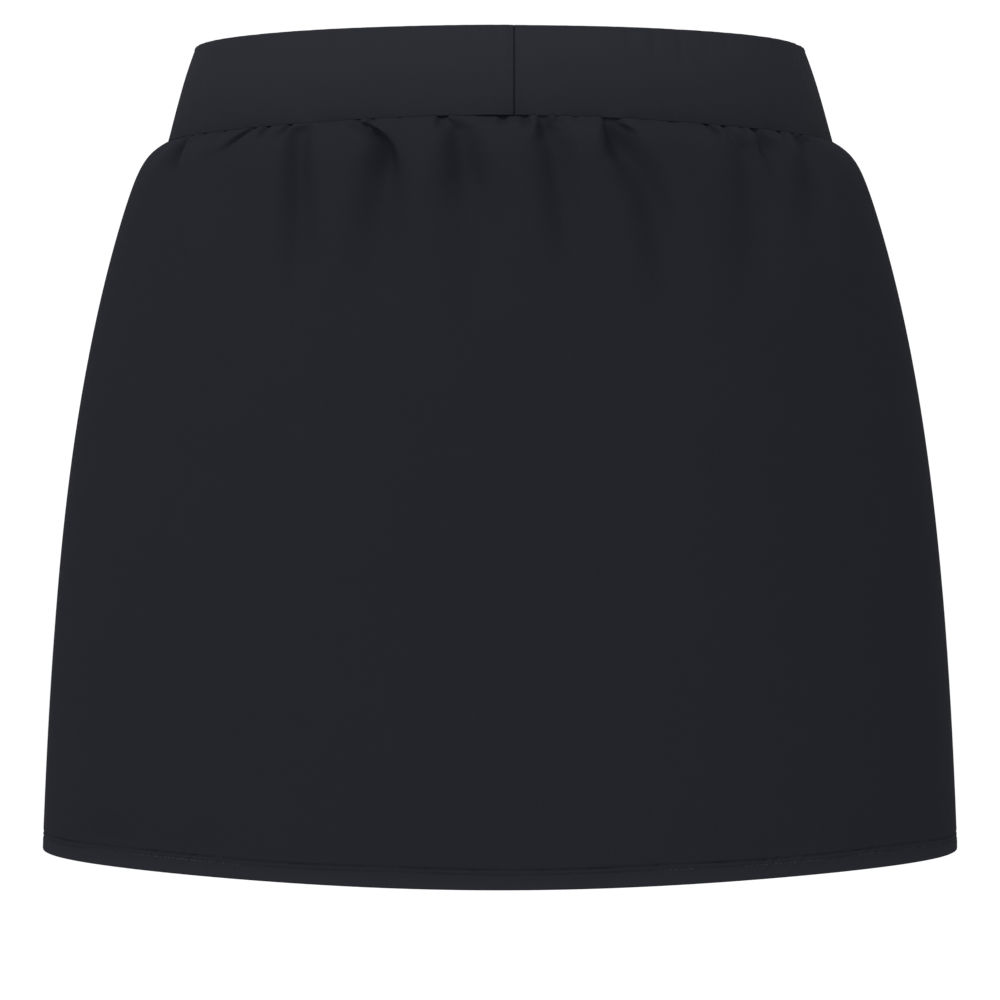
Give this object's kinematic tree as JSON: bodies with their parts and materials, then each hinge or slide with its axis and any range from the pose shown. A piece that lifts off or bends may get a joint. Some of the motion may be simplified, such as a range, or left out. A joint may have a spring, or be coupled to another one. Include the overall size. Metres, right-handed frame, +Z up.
{
  "type": "tennis skirt",
  "caption": "Black pull-on tennis skirt, filled out and hollow, with a wide elastic waistband, a gathered skirt of two panels and a stitched hem.",
  "frame": {"origin": "middle of the waistband, half way up its side, on the skirt's middle line", "axes": "+Z up the skirt through the waist; +Y from the back of the skirt to its front; +X towards the side seam on the right of someone who looks at the back"},
  "size_m": [0.3972, 0.2221, 0.349],
  "materials": {
    "band_knit": "matt black interlock knit over wide elastic",
    "skirt_knit": "matt black fine polyester and elastane knit"
  },
  "bodies": {
    "root": {"waistband": "band_knit", "back_panel": "skirt_knit", "front_panel": "skirt_knit"}
  },
  "joints": []
}
